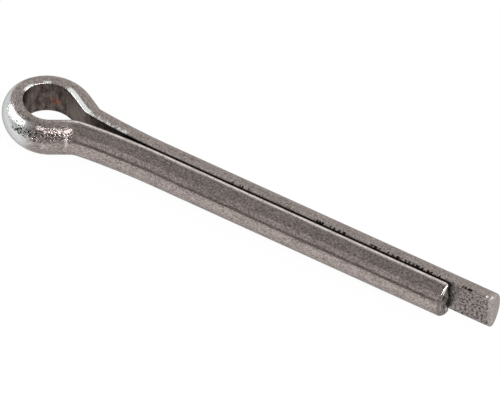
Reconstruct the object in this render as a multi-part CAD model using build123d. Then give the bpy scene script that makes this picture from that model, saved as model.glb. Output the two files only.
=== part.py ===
from build123d import *
from math import acos, asin, atan2, degrees
import os

# Split cotter pin, folded from one half-round wire: two legs side by side and an open eye.
# Millimetres. The pin lies on its side. X runs along the legs to the tips, Y runs across the
# eye from the short leg to the long one, and Z goes up through the eye's opening. The origin
# is the seat, where the pin fills the mouth of its hole, on the middle line of the wire.

# Wire and shank
shank_diameter = 3.6  # both legs together
slit = 0.14  # left between the flats of the closed legs
wire_corner = 0.14  # rounding where the wire's flat meets its round side
length = 32.0  # from the seat to the tip of the short leg
leg_difference = 3.78  # how far the long leg reaches past the short one

# Eye, by the radii of the wire's flat
eye_length = 8.96  # from the seat to the outer end
eye_bend = 1.44  # round the end
shoulder_start = 144.0  # degrees from the way that the legs point to where the bend opens out
eye_shift = 0.1  # the eye's centre lies off the legs' line, on the short leg's side
flare_length = 1.5  # straight, between the eye's shoulder and the neck

# Neck, where the legs bend into line
neck_place = 1.5  # from the seat towards the eye
neck_gap = 0.87  # between the flats at the neck
meeting_place = 5.4  # from the seat to where the legs first lie together
short_leg_hollow = 1.5  # radius of the hollow outside the neck
long_leg_hollow = 0.5

# Sheared tips
tip_lean = 3.0  # degrees that the round side is cut back
tip_rounding = 0.28

# Worked out from the sizes above
shank_radius = shank_diameter / 2
half_slit = slit / 2
wire_thickness = shank_radius - half_slit  # from the flat to the top of the round side
eye_centre_x = wire_thickness + eye_bend - eye_length


def wire_section():
    """The half-round wire, its flat on the section's Y axis and its round side towards +X."""
    round_bar = Pos(-half_slit, 0) * Circle(shank_radius)
    room = 2 * shank_diameter
    half_round = round_bar & Pos(room / 2, 0) * Rectangle(room, room)
    return fillet(half_round.vertices(), wire_corner)


def spring_bend():
    """Radius and turn of the long slack bend by which each leg parts from the other."""
    run = meeting_place + neck_place
    rise = (neck_gap - slit) / 2
    radius = (run**2 + rise**2) / (2 * rise)
    return radius, asin(run / radius)


def shoulder_bend(start, way, neck_centre, neck_bend):
    """Centre and radius of the shoulder that opens out at a point of the eye's end, its centre in
    line with the end's, so that a flare of the named length just reaches the neck's bend."""
    across = neck_centre - start
    room = across.length**2 - neck_bend**2 - flare_length**2
    radius = room / (2 * (neck_bend - across.dot(way)))
    return start - radius * way, radius


def flare_turn(neck_centre, neck_bend, shoulder_centre, shoulder):
    """Degrees between the legs and the straight flare that touches both bends."""
    across = neck_centre - shoulder_centre
    normal = atan2(across.Y, across.X) + acos((neck_bend + shoulder) / across.length)
    return 90 - degrees(normal)


def half_path(tip, hollow, shift):
    """The flat's line from one tip to the middle of the eye's end, for a leg on the +Y side.
    shift is how far the eye's centre lies over on that side."""
    spring_radius, spring_turn = spring_bend()
    neck_bend = wire_thickness + hollow
    leg = Line((tip, half_slit), (meeting_place, half_slit))
    spring = JernArc(leg @ 1, leg % 1, spring_radius, -degrees(spring_turn))
    outward = (spring % 1).rotate(Axis.Z, -90)
    neck_centre = spring @ 1 + neck_bend * outward

    eye_centre = Vector(eye_centre_x, shift)
    shoulder_way = Vector(1, 0).rotate(Axis.Z, shoulder_start)
    start = eye_centre + eye_bend * shoulder_way
    shoulder_centre, shoulder = shoulder_bend(start, shoulder_way, neck_centre, neck_bend)
    turn = flare_turn(neck_centre, neck_bend, shoulder_centre, shoulder)

    neck = JernArc(spring @ 1, spring % 1, neck_bend, degrees(spring_turn) - turn)
    straight = Line(neck @ 1, neck @ 1 + flare_length * (neck % 1))
    side = JernArc(straight @ 1, straight % 1, shoulder, turn + shoulder_start - 90)
    end = JernArc(side @ 1, side % 1, eye_bend, 180 - shoulder_start)
    return Wire([leg, spring, neck, straight, side, end])


def pin_path():
    """The flat's line along the whole wire, from the short leg's tip round to the long leg's."""
    short = half_path(length, short_leg_hollow, eye_shift)
    long = half_path(length + leg_difference, long_leg_hollow, -eye_shift)
    return Wire(short.mirror(Plane.XZ).edges() + long.edges())


def tip_shears(tip, side):
    """A block that shears one leg's tip at a lean, pivoting on the edge of its flat."""
    room = 2 * shank_diameter
    pivot = Pos(tip, side * half_slit) * Rot(0, 0, side * tip_lean)
    return pivot * Pos(room / 2, side * room / 2) * Box(room, room, room)


def faces_the_tips(face):
    """True for the two sheared ends, which look along the legs."""
    outward = face.normal_at()
    return outward.X > abs(outward.Y) + abs(outward.Z)


def sheared_pin():
    """The folded wire with both tips cut and the cuts' edges rounded."""
    path = pin_path()
    start = Plane(path @ 0, x_dir=(0, -1, 0), z_dir=path % 0)
    pin = sweep(start * wire_section(), path)
    pin -= tip_shears(length, -1)
    pin -= tip_shears(length + leg_difference, 1)
    cut_ends = pin.faces().filter_by(faces_the_tips)
    return fillet(cut_ends.edges(), tip_rounding)


cotter_pin = sheared_pin()
os.makedirs("parts", exist_ok=True)
export_step(cotter_pin, "parts/cotter_pin.step")
print(f"volume {cotter_pin.volume:.1f} mm3, size {cotter_pin.bounding_box().size}")
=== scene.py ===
from math import acos, asin, atan2, ceil, cos, hypot, pi, radians, sin

import bpy
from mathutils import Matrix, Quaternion, Vector


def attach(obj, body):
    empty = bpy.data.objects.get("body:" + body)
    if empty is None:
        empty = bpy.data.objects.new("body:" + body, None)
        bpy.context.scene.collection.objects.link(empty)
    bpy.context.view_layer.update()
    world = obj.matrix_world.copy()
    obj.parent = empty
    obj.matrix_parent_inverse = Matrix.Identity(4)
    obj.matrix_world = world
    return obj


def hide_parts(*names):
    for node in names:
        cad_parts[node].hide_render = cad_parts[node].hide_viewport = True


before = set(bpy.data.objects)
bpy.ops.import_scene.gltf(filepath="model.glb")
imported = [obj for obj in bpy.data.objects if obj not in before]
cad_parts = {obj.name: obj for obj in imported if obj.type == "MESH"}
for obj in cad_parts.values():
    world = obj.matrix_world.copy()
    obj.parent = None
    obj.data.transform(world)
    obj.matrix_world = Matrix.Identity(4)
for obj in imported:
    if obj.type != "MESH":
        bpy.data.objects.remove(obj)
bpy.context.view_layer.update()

# Sizes in millimetres, as in the pin's CAD. X runs along the legs to the tips, Y runs across the
# eye from the short leg to the long one, and Z goes up through the eye's opening.
MM = 0.001
SHANK_RADIUS = 1.8
HALF_SLIT = 0.07
WIRE_CORNER = 0.14
LENGTH = 32.0
LEG_DIFFERENCE = 3.78
EYE_LENGTH = 8.96
EYE_BEND = 1.44
SHOULDER_START = radians(144)
EYE_SHIFT = 0.1
FLARE_LENGTH = 1.5
NECK_PLACE = 1.5
NECK_GAP = 0.87
MEETING_PLACE = 5.4
SHORT_LEG_HOLLOW = 1.5
LONG_LEG_HOLLOW = 0.5
TIP_LEAN = radians(3)
TIP_ROUNDING = 0.28
WIRE_THICKNESS = SHANK_RADIUS - HALF_SLIT

# How the wire's surface is divided
ARC_SPACING = 0.05  # between points on the path's arcs
SECTION_SPACING = 0.113  # between sections along the wire
TIP_SECTIONS = (0, 0.08, 0.25, 0.5, 0.75, 1)  # as shares of a tip's rounding
ROUND_SIDE_POINTS = 90
CORNER_STEPS = 8
SECTION_POINTS = 118
LEAN_REACH = 1.0  # how far back from a tip its lean fades out


# Node trees, written as plain arithmetic

class Signal:
    """One output of a node, on which Python's arithmetic adds maths nodes."""

    def __init__(self, tree, socket):
        self.tree = tree
        self.socket = socket

    def maths(self, operation, *others):
        """A maths node that takes this signal first and then the others."""
        return worked_out(self.tree, operation, self, *others)

    def __add__(self, other):
        return self.maths("ADD", other)

    def __radd__(self, other):
        return self.maths("ADD", other)

    def __sub__(self, other):
        return self.maths("SUBTRACT", other)

    def __rsub__(self, other):
        return worked_out(self.tree, "SUBTRACT", other, self)

    def __mul__(self, other):
        return self.maths("MULTIPLY", other)

    def __rmul__(self, other):
        return self.maths("MULTIPLY", other)

    def __truediv__(self, other):
        return self.maths("DIVIDE", other)

    def __rtruediv__(self, other):
        return worked_out(self.tree, "DIVIDE", other, self)

    def __neg__(self):
        return self.maths("MULTIPLY", -1.0)

    def out(self, name):
        """Another output of the same node."""
        return Signal(self.tree, self.socket.node.outputs[name])


def feed(tree, socket, value):
    """Links a signal to an input, or sets the input's own value."""
    if isinstance(value, Signal):
        tree.links.new(value.socket, socket)
    else:
        socket.default_value = value


def add(tree, kind, settings=None, inputs=None, output=0):
    """A new node with its settings and inputs filled in; gives back one of its outputs, if any."""
    node = tree.nodes.new(kind)
    for name, value in (settings or {}).items():
        setattr(node, name, value)
    for key, value in (inputs or {}).items():
        feed(tree, node.inputs[key], value)
    if len(node.outputs) == 0:
        return None
    return Signal(tree, node.outputs[output])


def worked_out(tree, operation, *values):
    return add(tree, "ShaderNodeMath", {"operation": operation}, dict(enumerate(values)))


def either(first, *others):
    """The largest of some signals."""
    for other in others:
        first = first.maths("MAXIMUM", other)
    return first


def step(value, start, end):
    """Nought below start, one above end, and a smooth rise between; start may be the larger."""
    return add(value.tree, "ShaderNodeMapRange", {"interpolation_type": "SMOOTHSTEP"},
               {"Value": value, "From Min": start, "From Max": end})


def band(value, low, high, soft):
    """One between low and high, with a soft edge outside each."""
    return step(value, low - soft, low) * step(value, high + soft, high)


def vector(tree, x, y, z):
    return add(tree, "ShaderNodeCombineXYZ", inputs={0: x, 1: y, 2: z})


def noise(place, stretch, detail=2.0, roughness=0.5, seed=0.0):
    """Noise from 0 to 1, stretched by a scale along each of the place's axes."""
    tree = place.tree
    place = add(tree, "ShaderNodeVectorMath", {"operation": "MULTIPLY"}, {0: place, 1: stretch})
    return add(tree, "ShaderNodeTexNoise", {"noise_dimensions": "4D"},
               {"Vector": place, "W": seed, "Scale": 1.0, "Detail": detail, "Roughness": roughness})


def mix(amount, first, second):
    """A colour that goes from first to second as amount goes from 0 to 1."""
    return add(amount.tree, "ShaderNodeMix", {"data_type": "RGBA"},
               {0: amount, 6: first, 7: second}, output=2)


def painted(colour, over, where, strength=1.0):
    """A colour with another laid over it, as strongly as the last two say."""
    return mix(where * strength, colour, over)


# The folded wire's path

def arc(centre, radius, start, end):
    """Points along an arc between two angles."""
    count = max(2, ceil(abs(end - start) * radius / ARC_SPACING))
    angles = [start + (end - start) * i / count for i in range(count + 1)]
    return [(centre[0] + radius * cos(a), centre[1] + radius * sin(a)) for a in angles]


def half_path(tip, hollow, shift):
    """The flat's line from one tip to the middle of the eye's end, for a leg on the +Y side.
    shift is how far the eye's centre lies over on that side."""
    run = MEETING_PLACE + NECK_PLACE
    rise = NECK_GAP / 2 - HALF_SLIT
    spring = (run**2 + rise**2) / (2 * rise)
    slope = asin(run / spring)
    spring_centre = Vector((MEETING_PLACE, HALF_SLIT + spring))
    neck = WIRE_THICKNESS + hollow
    neck_centre = spring_centre + (neck - spring) * Vector((sin(slope), cos(slope)))

    # The shoulder's radius is the one at which a flare of the named length touches both bends.
    eye_centre = Vector((WIRE_THICKNESS + EYE_BEND - EYE_LENGTH, shift))
    way = Vector((cos(SHOULDER_START), sin(SHOULDER_START)))
    start = eye_centre + EYE_BEND * way
    across = neck_centre - start
    room = across.length**2 - neck**2 - FLARE_LENGTH**2
    shoulder = room / (2 * (neck - across.dot(way)))
    shoulder_centre = start - shoulder * way
    across = neck_centre - shoulder_centre
    flare = atan2(across.y, across.x) + acos((neck + shoulder) / across.length)

    points = [(tip, HALF_SLIT)]
    points += arc(spring_centre, spring, -pi / 2, -pi / 2 - slope)
    points += arc(neck_centre, neck, -pi / 2 - slope, flare - pi)
    points += arc(shoulder_centre, shoulder, flare, SHOULDER_START)
    points += arc(eye_centre, EYE_BEND, SHOULDER_START, pi)
    return points


def wanted_places(total):
    """How far along the wire its sections lie: evenly spaced, and close together at each tip."""
    straight = total - 2 * TIP_ROUNDING
    count = ceil(straight / SECTION_SPACING)
    tip = [TIP_ROUNDING * share for share in TIP_SECTIONS]
    middle = [TIP_ROUNDING + straight * i / count for i in range(1, count)]
    return tip + middle + [total - place for place in reversed(tip)]


def stations():
    """The sections' points, from the short leg's tip to the long leg's, and the wire's length."""
    short = half_path(LENGTH, SHORT_LEG_HOLLOW, EYE_SHIFT)
    long = half_path(LENGTH + LEG_DIFFERENCE, LONG_LEG_HOLLOW, -EYE_SHIFT)
    corners = [(x, -y) for x, y in short] + long[::-1]
    reached = [0.0]
    for a, b in zip(corners, corners[1:]):
        reached.append(reached[-1] + hypot(b[0] - a[0], b[1] - a[1]))
    total = reached[-1]
    points = []
    at = 0
    for want in wanted_places(total):
        while at < len(reached) - 2 and reached[at + 1] < want:
            at += 1
        stretch = reached[at + 1] - reached[at]
        part = (want - reached[at]) / stretch if stretch else 0.0
        a, b = corners[at], corners[at + 1]
        points.append((a[0] + (b[0] - a[0]) * part, a[1] + (b[1] - a[1]) * part))
    return points, total


# The wire's shape, by geometry nodes

def capture(tree, geometry, kind, name, value):
    """Keeps a value on the geometry, so that it's carried through later nodes."""
    node = tree.nodes.new("GeometryNodeCaptureAttribute")
    node.capture_items.new(kind, name)
    feed(tree, node.inputs["Geometry"], geometry)
    feed(tree, node.inputs[name], value)
    return Signal(tree, node.outputs["Geometry"]), Signal(tree, node.outputs[name])


def half_round_section(tree, radius, offset, corner):
    """An arc closed by its chord, with the two corners rounded and the flat through the middle."""
    half_turn = (offset / radius).maths("ARCCOSINE")
    section = add(tree, "GeometryNodeCurveArc", {"mode": "RADIUS"},
                  {"Resolution": ROUND_SIDE_POINTS, "Radius": radius,
                   "Start Angle": pi - half_turn, "Sweep Angle": 2 * half_turn,
                   "Connect Center": False}, "Curve")
    section = add(tree, "GeometryNodeSetSplineCyclic", inputs={"Geometry": section, "Cyclic": True})
    index = add(tree, "GeometryNodeInputIndex")
    first = index.maths("LESS_THAN", 0.5)
    last = index.maths("GREATER_THAN", ROUND_SIDE_POINTS - 1.5)
    section = add(tree, "GeometryNodeFilletCurve", {"mode": "POLY"},
                  {"Curve": section, "Count": CORNER_STEPS, "Radius": (first + last) * corner,
                   "Limit Radius": True})
    section = add(tree, "GeometryNodeResampleCurve", {"mode": "COUNT"},
                  {"Curve": section, "Count": SECTION_POINTS})
    return add(tree, "GeometryNodeSetPosition", inputs={
        "Geometry": section, "Offset": vector(tree, offset, 0.0, 0.0)})


def wire_tree(total):
    """A tree that sweeps the half-round section along the path, cuts both tips at a lean and rounds
    them. Each point keeps where it lies in the straight wire, in millimetres, as 'wire'."""
    tree = bpy.data.node_groups.new("Folded half-round wire", "GeometryNodeTree")
    face = tree.interface
    face.new_socket("Geometry", in_out="INPUT", socket_type="NodeSocketGeometry")
    for name in ("Bar radius", "Flat off centre", "Corner", "Tip lean", "Tip rounding"):
        face.new_socket(name, in_out="INPUT", socket_type="NodeSocketFloat")
    face.new_socket("Finish", in_out="INPUT", socket_type="NodeSocketMaterial")
    face.new_socket("Geometry", in_out="OUTPUT", socket_type="NodeSocketGeometry")
    given = add(tree, "NodeGroupInput")
    radius = given.out("Bar radius")
    offset = given.out("Flat off centre")

    section = half_round_section(tree, radius, offset, given.out("Corner"))
    section, section_place = capture(tree, section, "VECTOR", "Section place",
                                     add(tree, "GeometryNodeInputPosition"))

    path = add(tree, "GeometryNodeMeshToCurve", inputs={"Mesh": given.out("Geometry")})
    path = add(tree, "GeometryNodeSetCurveNormal", {"mode": "Z_UP"}, {"Curve": path})
    path, along = capture(tree, path, "FLOAT", "Along",
                          add(tree, "GeometryNodeSplineParameter").out("Length"))
    path, inward = capture(tree, path, "VECTOR", "Inward", add(tree, "GeometryNodeInputNormal"))
    wire = add(tree, "GeometryNodeCurveToMesh",
               inputs={"Curve": path, "Profile Curve": section, "Fill Caps": True})

    place = add(tree, "ShaderNodeSeparateXYZ", inputs={0: section_place})
    off_flat, up = -place.out("X"), -place.out("Y")
    lie = vector(tree, along * (1 / MM), off_flat * (1 / MM), up * (1 / MM))
    wire = add(tree, "GeometryNodeStoreNamedAttribute",
               {"data_type": "FLOAT_VECTOR", "domain": "POINT"},
               {"Geometry": wire, "Name": "wire", "Value": lie})

    # Both tips: how far from the nearer one, then the rounding and the lean of the cut.
    rounding = given.out("Tip rounding")
    from_tip = along.maths("MINIMUM", total * MM - along)
    missing = (1 - from_tip / rounding).maths("MAXIMUM", 0.0)
    inset = rounding * (1 - (1 - missing * missing).maths("SQRT"))
    middle = (radius - offset) / 2
    narrower = -inset * (off_flat - middle) / middle
    lower = -inset * up / radius
    cut_back = off_flat * given.out("Tip lean").maths("TANGENT")
    cut_back = cut_back * (1 - from_tip / (LEAN_REACH * MM)).maths("MAXIMUM", 0.0)
    shift = add(tree, "ShaderNodeVectorMath", {"operation": "SCALE"},
                {0: inward, "Scale": -narrower})
    shift = add(tree, "ShaderNodeVectorMath", {"operation": "ADD"},
                {0: shift, 1: vector(tree, -cut_back, 0.0, lower)})
    wire = add(tree, "GeometryNodeSetPosition", inputs={"Geometry": wire, "Offset": shift})

    wire = add(tree, "GeometryNodeSetShadeSmooth", inputs={"Geometry": wire, "Shade Smooth": True})
    wire = add(tree, "GeometryNodeRealizeInstances", inputs={"Geometry": wire})
    wire = add(tree, "GeometryNodeSetMaterial",
               inputs={"Geometry": wire, "Material": given.out("Finish")})
    add(tree, "NodeGroupOutput", inputs={"Geometry": wire})
    return tree


def folded_wire(finish):
    """The whole pin as one plain mesh."""
    points, total = stations()
    mesh = bpy.data.meshes.new("wire path")
    mesh.from_pydata([(x * MM, y * MM, 0.0) for x, y in points],
                     [(i, i + 1) for i in range(len(points) - 1)], [])
    maker = bpy.data.objects.new("wire path", mesh)
    bpy.context.scene.collection.objects.link(maker)
    tree = wire_tree(total)
    modifier = maker.modifiers.new("sweep", "NODES")
    values = {"Bar radius": SHANK_RADIUS * MM, "Flat off centre": HALF_SLIT * MM,
              "Corner": WIRE_CORNER * MM, "Tip lean": TIP_LEAN, "Tip rounding": TIP_ROUNDING * MM,
              "Finish": finish}
    modifier.node_group = tree
    for item in tree.interface.items_tree:
        if item.item_type == "SOCKET" and item.in_out == "INPUT" and item.name in values:
            modifier[item.identifier] = values[item.name]
    maker.update_tag()
    shapes = bpy.context.evaluated_depsgraph_get()
    shape = bpy.data.meshes.new_from_object(maker.evaluated_get(shapes))
    bpy.data.objects.remove(maker)
    bpy.data.node_groups.remove(tree)
    pin = bpy.data.objects.new("folded_wire", shape)
    bpy.context.scene.collection.objects.link(pin)
    return pin


# Finish

# The drawing film, plain and in a paler band round the short leg, with painted shade, a painted
# dark line where a reflection ends, and a pit
FILM_DARK = (0.165, 0.140, 0.133, 1)
FILM_PALE = (0.53, 0.454, 0.430, 1)
PALE_BAND_FILM_DARK = (0.28, 0.240, 0.230, 1)
PALE_BAND_FILM_PALE = (0.86, 0.745, 0.71, 1)
PAINTED_FILM_SHADE = (0.07, 0.056, 0.050, 1)
REFLECTION_EDGE_AND_PIT = (0.063, 0.052, 0.048, 1)

# Metal laid bare; the corner line, the bare corners and the tip glint also carry painted highlights
RUBBED_END = (0.70, 0.725, 0.715, 1)
PRESSED_DENT = (0.92, 0.79, 0.77, 1)
TOOL_SCRAPE = (0.94, 0.84, 0.80, 1)
CORNER_LINE_AND_HIGHLIGHT = (0.98, 0.895, 0.86, 1)
BARE_CORNER_AND_HIGHLIGHT = (0.96, 0.975, 0.96, 1)
PAINTED_TIP_GLINT = (1.0, 0.97, 0.92, 1)
LONG_TIP = (0.62, 0.575, 0.55, 1)

# Pits and nicks, and painted shade on the short leg's corner by the slit and on its tip's rounding
END_PIT = (0.03, 0.028, 0.028, 1)
SHOULDER_PIT = (0.04, 0.035, 0.035, 1)
CORNER_NICK = (0.02, 0.018, 0.018, 1)
SLIT_EDGE_SHADE = (0.04, 0.035, 0.033, 1)
SHORT_TIP_SHADE = (0.06, 0.055, 0.053, 1)

# The flat and the cut, with painted shade inside the eye, in the slit and on the cut's top
EYE_MOTTLE_AND_SHADE_DARK = (0.040, 0.030, 0.026, 1)
EYE_MOTTLE_AND_SHADE_PALE = (0.20, 0.160, 0.145, 1)
RUST = (0.26, 0.095, 0.05, 1)
SLIT_SHADE_AND_SPECK = (0.03, 0.026, 0.025, 1)
FLAT_SPECK = (0.40, 0.352, 0.335, 1)
CUT_DARK = (0.035, 0.032, 0.031, 1)
CUT_PALE = (0.52, 0.475, 0.462, 1)
CUT_TOP_SHADE = (0.03, 0.027, 0.026, 1)

# How the steel gleams
ROUND_SIDE_ROUGHNESS = 0.19
GLEAM_TINT = (0.54, 0.54, 0.54, 1)
GRAIN_DEPTH = 0.05  # millimetres
GRAIN_STRENGTH = 0.5


def new_material(name):
    material = bpy.data.materials.new(name)
    material.use_nodes = True
    material.node_tree.nodes.clear()
    return material, material.node_tree


def patch(along, across, middle, reach):
    """A soft oval patch of a surface, by its middle and half its size each way."""
    a = (along - middle[0]) / reach[0]
    b = (across - middle[1]) / reach[1]
    return step(a * a + b * b, 1.0, 0.4)


class Wire:
    """Where the surface lies in the straight wire, with the grain of the metal there. Places are in
    millimetres along the wire from the short leg's tip, millimetres off its flat and up from its
    middle, and degrees round it from the middle of its round side, with 90 straight up."""

    def __init__(self, tree):
        self.lie = add(tree, "ShaderNodeAttribute", {"attribute_name": "wire"}, output="Vector")
        parts = add(tree, "ShaderNodeSeparateXYZ", inputs={0: self.lie})
        self.along, self.off_flat, self.up = parts.out("X"), parts.out("Y"), parts.out("Z")
        self.round_by = self.up.maths("ARCTAN2", self.off_flat + HALF_SLIT) * (180 / pi)
        self.streaks = noise(self.lie, (0.9, 7.0, 7.0), detail=4.0, roughness=0.6, seed=1.0)
        self.stipple = noise(self.lie, (6.0, 8.0, 8.0), roughness=0.7, seed=2.0)
        self.blotch = noise(self.lie, (0.7, 1.5, 1.5), detail=3.0, seed=3.0)
        self.pits = step(noise(self.lie, (6.0, 7.0, 7.0), detail=1.0, seed=6.0), 0.515, 0.56)
        self.upper_corner = step(self.off_flat, -0.01, 0.02) * step(self.up, 1.5, 1.6)

    def grain(self, streaks, stipple, blotch=0.0):
        """The metal's grain, to either side of nought, by how much each kind counts."""
        value = (self.streaks - 0.5) * streaks + (self.stipple - 0.5) * stipple
        return value + (self.blotch - 0.5) * blotch

    def wander(self, fineness, degrees, roughness=0.5, seed=0.0):
        """Degrees to either side of nought that change only along the wire."""
        value = noise(self.lie, (fineness, 0.0, 0.0), detail=3.0, roughness=roughness, seed=seed)
        return (value - 0.5) * degrees

    def area(self, along, round_by, soft):
        """One inside a stretch of the round side; soft is its edge's width each way."""
        return band(self.along, *along, soft[0]) * band(self.round_by, *round_by, soft[1])

    def spot(self, middle, reach):
        """A soft patch of the round side, in millimetres along the wire and degrees round it."""
        return patch(self.along, self.round_by, middle, reach)

    def flat_spot(self, middle, reach):
        """A soft patch of the flat, in millimetres along the wire and up."""
        return patch(self.along, self.up, middle, reach)


def film(wire):
    """The brown-grey film that drawing leaves all over. It is paler in a band round the short leg,
    above painted shade and a painted dark line where a reflection ends, with one dark pit in the
    same colour."""
    waver = wire.wander(0.35, degrees=7.0, seed=4.0)
    jag = wire.wander(6.0, degrees=4.0, roughness=0.7, seed=5.0)
    short_leg = step(wire.along, 34.6, 33.8)
    fading = step(noise(wire.lie, (0.12, 0.0, 0.0), seed=8.0), 0.3, 0.6)
    # A paler band round the short leg, at one height round the wire, fading in and out along it.
    rubbed = band(wire.round_by + waver, 36.0, 47.0, 3.0) * short_leg * fading
    paleness = step(wire.grain(streaks=0.8, stipple=2.6, blotch=0.4), -0.55, 0.55)
    colour = mix(rubbed, mix(paleness, FILM_DARK, FILM_PALE),
                 mix(paleness, PALE_BAND_FILM_DARK, PALE_BAND_FILM_PALE))

    # Painted shade in a band round the short leg, about the dark line.
    shade = band(wire.round_by + jag * 0.5 + waver * 0.3, 26.5, 33.0, 1.5) * short_leg
    colour = painted(colour, PAINTED_FILM_SHADE, shade, strength=0.3)
    # A painted dark line where a reflection ends, jagged and wavering, with a hook near the tip;
    # the blot is a real pit in the same colour.
    line = band(wire.round_by + jag + waver * 0.2, 27.0, 30.5, 1.5) * short_leg
    line = line * step(wire.along, 0.5, 0.9)
    hook = wire.area(along=(0.55, 0.7), round_by=(17.0, 29.0), soft=(0.1, 3.0)) * 0.7
    blot = wire.spot(middle=(28.19, 36.0), reach=(0.12, 4.0))
    return painted(colour, REFLECTION_EDGE_AND_PIT, either(line, hook, blot), strength=0.5)


def worn_end(wire, colour):
    """The eye's outer end, rubbed nearly clean, with dark pits at its lower edge."""
    worn = wire.area(along=(38.0, 41.6), round_by=(-50.0, 90.0), soft=(1.0, 12.0))
    slanted_edge = step(wire.along * 6.0 + wire.round_by, 297.0, 289.0)
    patchy = step(wire.grain(streaks=0.8, stipple=1.6), -0.8, -0.1)
    colour = painted(colour, RUBBED_END, worn * slanted_edge * patchy, strength=0.92)
    pits = wire.pits * wire.area(along=(36.9, 38.3), round_by=(25.0, 45.0), soft=(0.4, 6.0))
    return painted(colour, END_PIT, pits, strength=0.95), pits


def tool_marks(wire, colour):
    """Where the folding tool pressed on the short leg's shoulder: bright dents above, pits below
    and a thin scrape across."""
    deepest = either(wire.spot(middle=(34.9, 55.0), reach=(0.35, 7.0)),
                     wire.spot(middle=(36.95, 60.0), reach=(0.28, 6.0)))
    pressed = wire.area(along=(34.6, 36.6), round_by=(49.0, 60.0), soft=(0.25, 3.5))
    dents = noise(wire.lie, (4.5, 6.5, 6.5), detail=4.0, roughness=0.7, seed=7.0) + deepest * 0.1
    dents = step(dents, 0.48, 0.64) * either(pressed, deepest)
    colour = painted(colour, PRESSED_DENT, dents, strength=0.75)
    pits = wire.pits * wire.area(along=(34.6, 36.8), round_by=(33.0, 47.0), soft=(0.3, 4.0))
    colour = painted(colour, SHOULDER_PIT, pits, strength=0.9)
    scrape = wire.area(along=(34.95, 35.15), round_by=(14.0, 42.0), soft=(0.12, 6.0))
    scrape = scrape * step(wire.stipple, 0.35, 0.55) * 0.6
    return painted(colour, TOOL_SCRAPE, scrape), either(dents, scrape * 0.5), pits


def worn_corners(wire, colour):
    """Bare metal along the wire's upper corners, painted bright to carry their highlights: a line
    on the legs, a wide strip where the long leg flares, two slivers round the eye and a row of
    teeth after the strip. Painted shade darkens the short leg's corner by the slit. Black nicks
    break the long leg's corner."""
    along, off_flat = wire.along, wire.off_flat
    short_leg = step(along, 35.0, 34.0)
    # Painted shade on the short leg's corner by the slit, and in a narrow band a little further out
    # on that corner.
    edge = step(off_flat, 0.10, 0.05) * short_leg * wire.upper_corner
    colour = painted(colour, SLIT_EDGE_SHADE, edge, strength=0.3)
    shade_beside_line = band(off_flat, 0.40, 0.47, 0.06) * short_leg * step(wire.up, 1.4, 1.5)
    colour = painted(colour, PAINTED_FILM_SHADE, shade_beside_line, strength=0.3)

    # Bare metal in a line along the corners, painted bright to carry the corner's highlight.
    thin = noise(wire.lie, (0.5, 0.0, 0.0), detail=3.0, roughness=0.7, seed=15.0)
    line = band(off_flat, 0.13, 0.21, 0.07) * (0.5 + 0.5 * step(thin, 0.35, 0.6))
    line = line * (1 - band(along, 35.6, 44.0, 0.8)) * step(along, 48.0, 47.0)
    colour = painted(colour, CORNER_LINE_AND_HIGHLIGHT, line * step(wire.stipple, 0.2, 0.5) * wire.upper_corner)

    # Bare metal on the flare, in two slivers round the eye and in teeth, painted bright to carry
    # their highlights.
    strip = band(along, 44.5, 47.2, 0.4) * step(off_flat, 0.46, 0.34)
    slivers = either(band(along, 40.7, 41.3, 0.25), band(along, 42.35, 42.75, 0.2) * 0.8)
    slivers = slivers * step(off_flat, 0.3, 0.2)
    teeth = noise(wire.lie, (7.0, 2.0, 2.0), detail=3.0, seed=11.0) - off_flat * 0.35
    teeth = step(teeth, 0.40, 0.47) * band(along, 47.3, 50.8, 0.6) * step(off_flat, 0.38, 0.28)
    colour = painted(colour, BARE_CORNER_AND_HIGHLIGHT, either(strip, slivers, teeth * 0.85) * wire.upper_corner)

    nicks = step(noise(wire.lie, (4.0, 1.0, 1.0), seed=9.0), 0.50, 0.56)
    crowded = noise(wire.lie, (0.35, 0.0, 0.0), seed=10.0) + step(along, 64.0, 68.0) * 0.07
    nicks = nicks * step(crowded, 0.48, 0.56) * step(along, 59.5, 60.5)
    return painted(colour, CORNER_NICK, nicks * step(off_flat, 0.26, 0.2) * wire.upper_corner)


def flat_side(wire, colour):
    """The wire's flat: mottled inside the eye in colours kept dark as painted shade, near black
    with painted shade in the slit, and speckled past the short leg, with a little painted light
    just past its tip.
    """
    # Mottle on the eye's inner flat, in colours kept dark as painted shade for the hollow, paler
    # towards the long leg's flare.
    mottle = noise(wire.lie, (2.6, 1.0, 0.9), detail=4.0, roughness=0.7, seed=12.0) * 0.75
    mottle = mottle + wire.stipple * 0.25 + step(wire.along, 43.8, 45.6) * 0.10
    inside = mix(step(mottle, 0.38, 0.66), EYE_MOTTLE_AND_SHADE_DARK, EYE_MOTTLE_AND_SHADE_PALE)
    rust = wire.flat_spot(middle=(43.2, -0.4), reach=(0.5, 0.5)) * step(mottle, 0.4, 0.6)
    inside = painted(inside, RUST, rust, strength=0.85)
    # Painted shade: the flat is made near black in the slit, where the legs lie against each other.
    in_slit = either(step(wire.along, 30.5, 29.5), step(wire.along, 50.5, 51.5))
    inside = painted(inside, SLIT_SHADE_AND_SPECK, in_slit)

    speckle = noise(wire.lie, (4.5, 4.5, 5.5), detail=4.0, roughness=0.75, seed=14.0)
    # Painted light: the specks are a little paler just past the short leg's tip, against the shade
    # it casts there.
    speckle = speckle + step(wire.along, 82.2, 81.4) * 0.02
    outside = mix(step(speckle, 0.43, 0.55), SLIT_SHADE_AND_SPECK, FLAT_SPECK)
    past_short_leg = step(wire.along, 80.3, 80.8)
    flat = step(wire.off_flat, 0.03, 0.005) * step(wire.up.maths("ABSOLUTE"), 1.72, 1.66)
    return painted(colour, mix(past_short_leg, inside, outside), flat), flat


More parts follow.
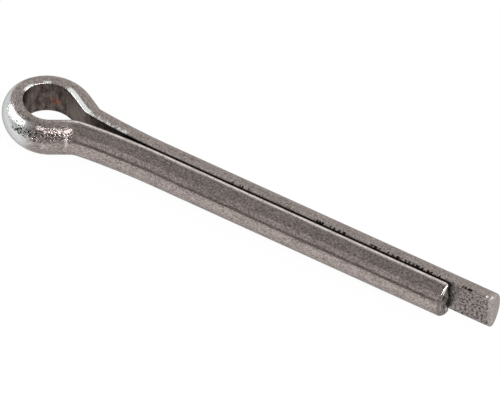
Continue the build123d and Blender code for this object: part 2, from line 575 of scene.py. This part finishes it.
def sheared_ends(wire, colour):
    """The short leg's cut, streaked from top to bottom and with painted shade on its top and on the
    tip's rounding, the long leg's paler tip, and a painted glint on bare metal on the edge above
    each."""
    cut = noise(wire.lie, (0.0, 2.6, 0.6), detail=3.0, roughness=0.65, seed=13.0)
    streaked = mix(step(cut, 0.40, 0.58), CUT_DARK, CUT_PALE)
    # Painted shade on the upper part of the cut.
    streaked = painted(streaked, CUT_TOP_SHADE, step(wire.up, 0.5, 1.2), strength=0.6)
    # Painted shade on the short tip's rounding.
    colour = painted(colour, SHORT_TIP_SHADE, step(wire.along, 0.28, 0.1), strength=0.5)
    colour = painted(colour, streaked, step(wire.along, 0.004, 0.001))
    colour = painted(colour, LONG_TIP, step(wire.along, 84.3, 84.5), strength=0.38)
    # Painted glints on bare metal at the upper edge of each tip.
    short_glint = wire.area(along=(0.02, 0.11), round_by=(58.0, 77.0), soft=(0.05, 7.0))
    long_glints = either(wire.spot(middle=(84.22, 82.0), reach=(0.13, 6.0)),
                         wire.spot(middle=(84.6, 77.0), reach=(0.11, 6.0)))
    glint = either(short_glint, long_glints * step(wire.up, 1.5, 1.6))
    return painted(colour, PAINTED_TIP_GLINT, glint), glint


def drawn_steel():
    """Dull drawn stainless wire, worn bright where it was pressed, rubbed or bent, with painted
    highlights, glints and shade.
    """
    material, tree = new_material("Drawn stainless steel")
    wire = Wire(tree)
    colour, end_pits = worn_end(wire, film(wire))
    colour, dented, shoulder_pits = tool_marks(wire, colour)
    colour = worn_corners(wire, colour)
    colour, flat = flat_side(wire, colour)
    colour, glint = sheared_ends(wire, colour)
    rough = ROUND_SIDE_ROUGHNESS + flat * 0.2 + dented * 0.4 - glint * 0.06
    rough = rough + wire.grain(streaks=0.0, stipple=0.1)
    height = wire.grain(streaks=0.6, stipple=1.0) - end_pits - shoulder_pits + dented
    bump = add(tree, "ShaderNodeBump", inputs={
        "Strength": GRAIN_STRENGTH, "Distance": GRAIN_DEPTH * MM, "Height": height})
    surface = add(tree, "ShaderNodeBsdfPrincipled", inputs={
        "Base Color": colour, "Metallic": 1.0, "Roughness": rough, "Normal": bump,
        "Specular Tint": GLEAM_TINT})
    add(tree, "ShaderNodeOutputMaterial", inputs={"Surface": surface})
    return material


# Floor, light and camera, in metres; the lens and its sensor are in millimetres.

def floor_material():
    """A white table that looks nearly plain white and still takes a faint shadow."""
    material, tree = new_material("White table")
    paint = add(tree, "ShaderNodeBsdfDiffuse", inputs={"Color": (0.84, 0.83, 0.79, 1)})
    white = add(tree, "ShaderNodeEmission", inputs={"Color": (1.0, 1.0, 1.0, 1), "Strength": 1.0})
    white_share = 0.96
    ray = add(tree, "ShaderNodeLightPath", output="Is Camera Ray")
    seen = ray + ray.out("Is Glossy Ray") + ray.out("Is Transmission Ray")
    share = seen.maths("MINIMUM", 1.0) * white_share
    surface = add(tree, "ShaderNodeMixShader", inputs={0: share, 1: paint, 2: white})
    add(tree, "ShaderNodeOutputMaterial", inputs={"Surface": surface})
    return material


def floor():
    """A wide table just under the pin."""
    half = 0.6
    top = -SHANK_RADIUS * MM
    mesh = bpy.data.meshes.new("table")
    mesh.from_pydata([(-half, -half, top), (half, -half, top), (half, half, top),
                      (-half, half, top)], [], [(0, 1, 2, 3)])
    table = bpy.data.objects.new("table", mesh)
    bpy.context.scene.collection.objects.link(table)
    mesh.materials.append(floor_material())
    return table


def area_light(name, place, width, height, power, roll=0):
    """A soft light that is turned to look at the pin and then rolled."""
    data = bpy.data.lights.new(name, "AREA")
    data.shape = "RECTANGLE"
    data.size = width
    data.size_y = height
    data.energy = power
    light = bpy.data.objects.new(name, data)
    light.location = place
    facing = (-Vector(place)).to_track_quat("-Z", "Y")
    light.rotation_euler = (facing @ Quaternion((0, 0, 1), roll)).to_euler()
    bpy.context.scene.collection.objects.link(light)


def surroundings():
    """A grey room, dim on the camera's side and paler behind the pin."""
    near_side = (0.41, 0.405, 0.40, 1)
    far_side = (0.77, 0.785, 0.77, 1)
    far_end = (0.73, 0.73, 0.715, 1)
    world = bpy.data.worlds.new("Grey room")
    world.use_nodes = True
    tree = world.node_tree
    tree.nodes.clear()
    way = add(tree, "ShaderNodeTexCoord", output="Generated")
    back = add(tree, "ShaderNodeSeparateXYZ", inputs={0: way}, output="Y")
    colour = mix(step(back, -0.05, 0.3), near_side, far_side)
    colour = mix(step(back, 0.8, 1.0), colour, far_end)
    room = add(tree, "ShaderNodeBackground", inputs={"Color": colour})
    add(tree, "ShaderNodeOutputWorld", inputs={"Surface": room})
    bpy.context.scene.world = world


def camera():
    """A long lens that looks down over the tips, with the pin from upper left to lower right."""
    elevation = radians(52.5)
    azimuth = radians(29.75)
    lens = 1100.0
    sensor = 36.0
    frame_width = 40.15 * MM
    target = Vector((13.29, 0.51, 0.0)) * MM
    away = Vector((cos(elevation) * sin(azimuth), -cos(elevation) * cos(azimuth), sin(elevation)))
    data = bpy.data.cameras.new("camera")
    data.lens = lens
    data.sensor_width = sensor
    data.clip_start = 0.01
    data.clip_end = 10.0
    distance = frame_width * lens / sensor
    eye = bpy.data.objects.new("camera", data)
    eye.location = target + away * distance
    eye.rotation_euler = (-away).to_track_quat("-Z", "Y").to_euler()
    bpy.context.scene.collection.objects.link(eye)
    bpy.context.scene.camera = eye


pin = folded_wire(drawn_steel())
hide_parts("cotter_pin")
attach(pin, "root")
floor()
area_light("left softbox", place=(-0.42, -0.15, 0.235), width=0.40, height=0.16, power=0.80,
           roll=radians(35))
area_light("right softbox", place=(0.42, 0.14, 0.32), width=0.14, height=0.14, power=0.80)
area_light("front softbox", place=(0.275, -0.15, 0.39), width=0.12, height=0.12, power=1.7)
surroundings()
camera()

scene = bpy.context.scene
scene.view_settings.view_transform = "Standard"
